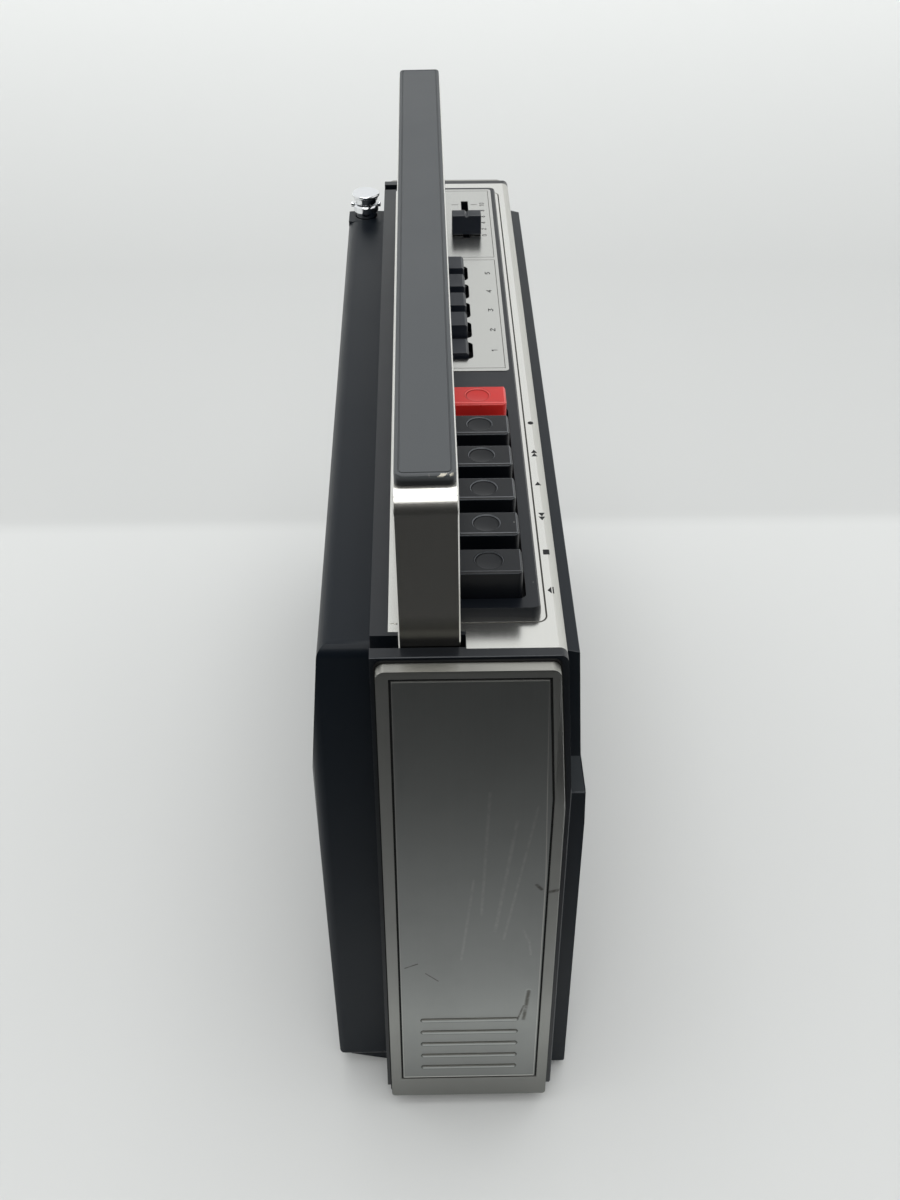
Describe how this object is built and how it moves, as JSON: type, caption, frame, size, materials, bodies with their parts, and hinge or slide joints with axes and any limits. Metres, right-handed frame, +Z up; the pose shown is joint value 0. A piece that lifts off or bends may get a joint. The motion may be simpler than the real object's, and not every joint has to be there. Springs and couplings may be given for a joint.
{
  "type": "radio cassette recorder",
  "caption": "Portable radio cassette recorder with a folding carrying handle, piano keys, slide controls, a tuning dial, a loudspeaker and a telescopic aerial.",
  "frame": {"origin": "on the floor, below the middle of the housing", "axes": "+X towards the right end seen from the front, +Y towards the back cover, +Z up"},
  "size_m": [0.3298, 0.0926, 0.2582],
  "materials": {
    "body_black": "satin moulded",
    "panel_black": "smooth satin",
    "silver": "brushed",
    "clear": "polished",
    "scale": "printed",
    "pointer_red": "gloss",
    "knob_metal": "turned",
    "steel": "plated",
    "light_plastic": "moulded",
    "grille": "satin",
    "cone_paper": "paper",
    "brass": "plain",
    "rubber": "matt",
    "handle_steel": "satin brushed",
    "grip": "fine grained",
    "key_black": "semi gloss",
    "key_red": "semi gloss",
    "chrome": "polished",
    "board": "phenolic board",
    "ferrite": "sintered"
  },
  "bodies": {
    "radio": {"housing_frame": "body_black", "end_cap_left": "silver", "end_cap_right": "silver", "top_panel": "silver", "control_island": "panel_black", "control_plate": "silver", "front_bezel": "body_black", "dial_window": "clear", "dial_scale": "scale", "speaker_grille": "grille", "speaker_basket": "steel", "speaker_cone": "cone_paper", "speaker_magnet": "grille", "back_cover": "body_black", "battery_contacts": "brass", "cover_screws": "steel", "feet": "rubber", "handle_pins": "steel", "key_guide": "body_black", "band_switch": "light_plastic", "slide_controls": "steel", "aerial_tube": "chrome", "radio_board": "board", "ferrite_aerial": "ferrite", "mains_transformer": "steel", "mains_inlet": "panel_black", "tape_chassis": "steel", "tape_motor": "steel", "drive_belt": "rubber"},
    "handle": {"handle_band": "handle_steel", "handle_grip": "grip"},
    "key_eject": {"key_eject": "key_black"},
    "key_stop": {"key_stop": "key_black"},
    "key_rewind": {"key_rewind": "key_black"},
    "key_play": {"key_play": "key_black"},
    "key_forward": {"key_forward": "key_black"},
    "key_record": {"key_record": "key_red"},
    "band_key_tape": {"band_key_tape": "key_black"},
    "band_key_long": {"band_key_long": "key_black"},
    "band_key_medium": {"band_key_medium": "key_black"},
    "band_key_short": {"band_key_short": "key_black"},
    "band_key_fm": {"band_key_fm": "key_black"},
    "volume_slider": {"volume_slider": "key_black"},
    "tone_slider": {"tone_slider": "key_black"},
    "tuning": {"tuning_knob": "knob_metal", "tuning_shaft": "steel"},
    "pointer": {"dial_pointer": "pointer_red"},
    "drum": {"tuning_drum": "light_plastic"},
    "lid": {"cassette_lid": "body_black", "cassette_window": "clear"},
    "battery_door": {"battery_door": "body_black"},
    "aerial_1": {"aerial_section_1": "chrome"},
    "aerial_2": {"aerial_section_2": "chrome"},
    "aerial_tip": {"aerial_tip": "chrome"},
    "bridge": {"head_bridge": "steel"},
    "roller": {"pinch_roller": "rubber"},
    "supply": {"supply_spindle": "light_plastic"},
    "takeup": {"takeup_spindle": "light_plastic"},
    "flywheel": {"flywheel": "brass"},
    "pulley": {"motor_pulley": "brass"}
  },
  "joints": [
    {"name": "handle_fold", "type": "hinge", "parent": "radio", "child": "handle", "pos_m": [0, 0.0104, 0.193], "axis": [-1, 0, 0], "range_deg": [0, 112]},
    {"name": "key_eject_press", "type": "slide", "parent": "radio", "child": "key_eject", "axis": [0, 0, -1], "range_m": [0, 0.0045], "stiffness_N_per_m": 350, "springref_m": -0.002},
    {"name": "key_stop_press", "type": "slide", "parent": "radio", "child": "key_stop", "axis": [0, 0, -1], "range_m": [0, 0.0045], "stiffness_N_per_m": 350, "springref_m": -0.002},
    {"name": "key_rewind_press", "type": "slide", "parent": "radio", "child": "key_rewind", "axis": [0, 0, -1], "range_m": [0, 0.0045], "stiffness_N_per_m": 350, "springref_m": -0.002},
    {"name": "key_play_press", "type": "slide", "parent": "radio", "child": "key_play", "axis": [0, 0, -1], "range_m": [0, 0.0045], "stiffness_N_per_m": 350, "springref_m": -0.002},
    {"name": "key_forward_press", "type": "slide", "parent": "radio", "child": "key_forward", "axis": [0, 0, -1], "range_m": [0, 0.0045], "stiffness_N_per_m": 350, "springref_m": -0.002},
    {"name": "key_record_press", "type": "slide", "parent": "radio", "child": "key_record", "axis": [0, 0, -1], "range_m": [0, 0.0045], "stiffness_N_per_m": 350, "springref_m": -0.002},
    {"name": "band_key_tape_release", "type": "slide", "parent": "radio", "child": "band_key_tape", "axis": [0, 0, 1], "range_m": [0, 0.0028]},
    {"name": "band_key_long_press", "type": "slide", "parent": "radio", "child": "band_key_long", "axis": [0, 0, -1], "range_m": [0, 0.0028], "stiffness_N_per_m": 300, "springref_m": -0.002},
    {"name": "band_key_medium_press", "type": "slide", "parent": "radio", "child": "band_key_medium", "axis": [0, 0, -1], "range_m": [0, 0.0028], "stiffness_N_per_m": 300, "springref_m": -0.002},
    {"name": "band_key_short_press", "type": "slide", "parent": "radio", "child": "band_key_short", "axis": [0, 0, -1], "range_m": [0, 0.0028], "stiffness_N_per_m": 300, "springref_m": -0.002},
    {"name": "band_key_fm_press", "type": "slide", "parent": "radio", "child": "band_key_fm", "axis": [0, 0, -1], "range_m": [0, 0.0028], "stiffness_N_per_m": 300, "springref_m": -0.002},
    {"name": "volume_slide", "type": "slide", "parent": "radio", "child": "volume_slider", "axis": [1, 0, 0], "range_m": [-0.0034, 0.0266]},
    {"name": "tone_slide", "type": "slide", "parent": "radio", "child": "tone_slider", "axis": [1, 0, 0], "range_m": [-0.0034, 0.0266]},
    {"name": "tuning_turn", "type": "hinge", "parent": "radio", "child": "tuning", "pos_m": [0.125, 0, 0.081], "axis": [0, -1, 0], "range_deg": [-900, 900]},
    {"name": "pointer_slide", "type": "slide", "parent": "radio", "child": "pointer", "axis": [1, 0, 0], "range_m": [-0.076, 0.076]},
    {"name": "drum_turn", "type": "hinge", "parent": "radio", "child": "drum", "pos_m": [0.112, 0, 0.135], "axis": [0, -1, 0], "range_deg": [-190, 190]},
    {"name": "lid_open", "type": "hinge", "parent": "radio", "child": "lid", "pos_m": [0, -0.0346, 0.0549], "axis": [1, 0, 0], "range_deg": [0, 38]},
    {"name": "battery_door_open", "type": "hinge", "parent": "radio", "child": "battery_door", "pos_m": [0, 0.04206, 0.0184], "axis": [-1, 0, 0], "range_deg": [0, 80]},
    {"name": "aerial_1_pull", "type": "slide", "parent": "radio", "child": "aerial_1", "axis": [0, 0, 1], "range_m": [0, 0.14]},
    {"name": "aerial_2_pull", "type": "slide", "parent": "aerial_1", "child": "aerial_2", "axis": [0, 0, 1], "range_m": [0, 0.14]},
    {"name": "aerial_tip_pull", "type": "slide", "parent": "aerial_2", "child": "aerial_tip", "axis": [0, 0, 1], "range_m": [0, 0.14]},
    {"name": "bridge_slide", "type": "slide", "parent": "radio", "child": "bridge", "axis": [0, 0, -1], "range_m": [0, 0.0045]},
    {"name": "roller_spin", "type": "hinge", "parent": "bridge", "child": "roller", "pos_m": [-0.068, 0, 0.1312], "axis": [0, 1, 0], "continuous": true},
    {"name": "supply_spin", "type": "hinge", "parent": "radio", "child": "supply", "pos_m": [-0.10725, 0, 0.088], "axis": [0, 1, 0], "continuous": true},
    {"name": "takeup_spin", "type": "hinge", "parent": "radio", "child": "takeup", "pos_m": [-0.06475, 0, 0.088], "axis": [0, 1, 0], "continuous": true},
    {"name": "flywheel_spin", "type": "hinge", "parent": "radio", "child": "flywheel", "pos_m": [-0.068, 0, 0.119], "axis": [0, 1, 0], "continuous": true},
    {"name": "pulley_spin", "type": "hinge", "parent": "radio", "child": "pulley", "pos_m": [-0.118, 0, 0.075], "axis": [0, 1, 0], "continuous": true}
  ],
  "couplings": [
    {"joint": "pointer_slide", "follows": "tuning_turn", "m_per_rad": 0.0047747},
    {"joint": "drum_turn", "follows": "tuning_turn", "ratio": 0.2},
    {"joint": "bridge_slide", "follows": "key_play_press", "ratio": 1},
    {"joint": "pulley_spin", "follows": "flywheel_spin", "ratio": 6.25}
  ]
}
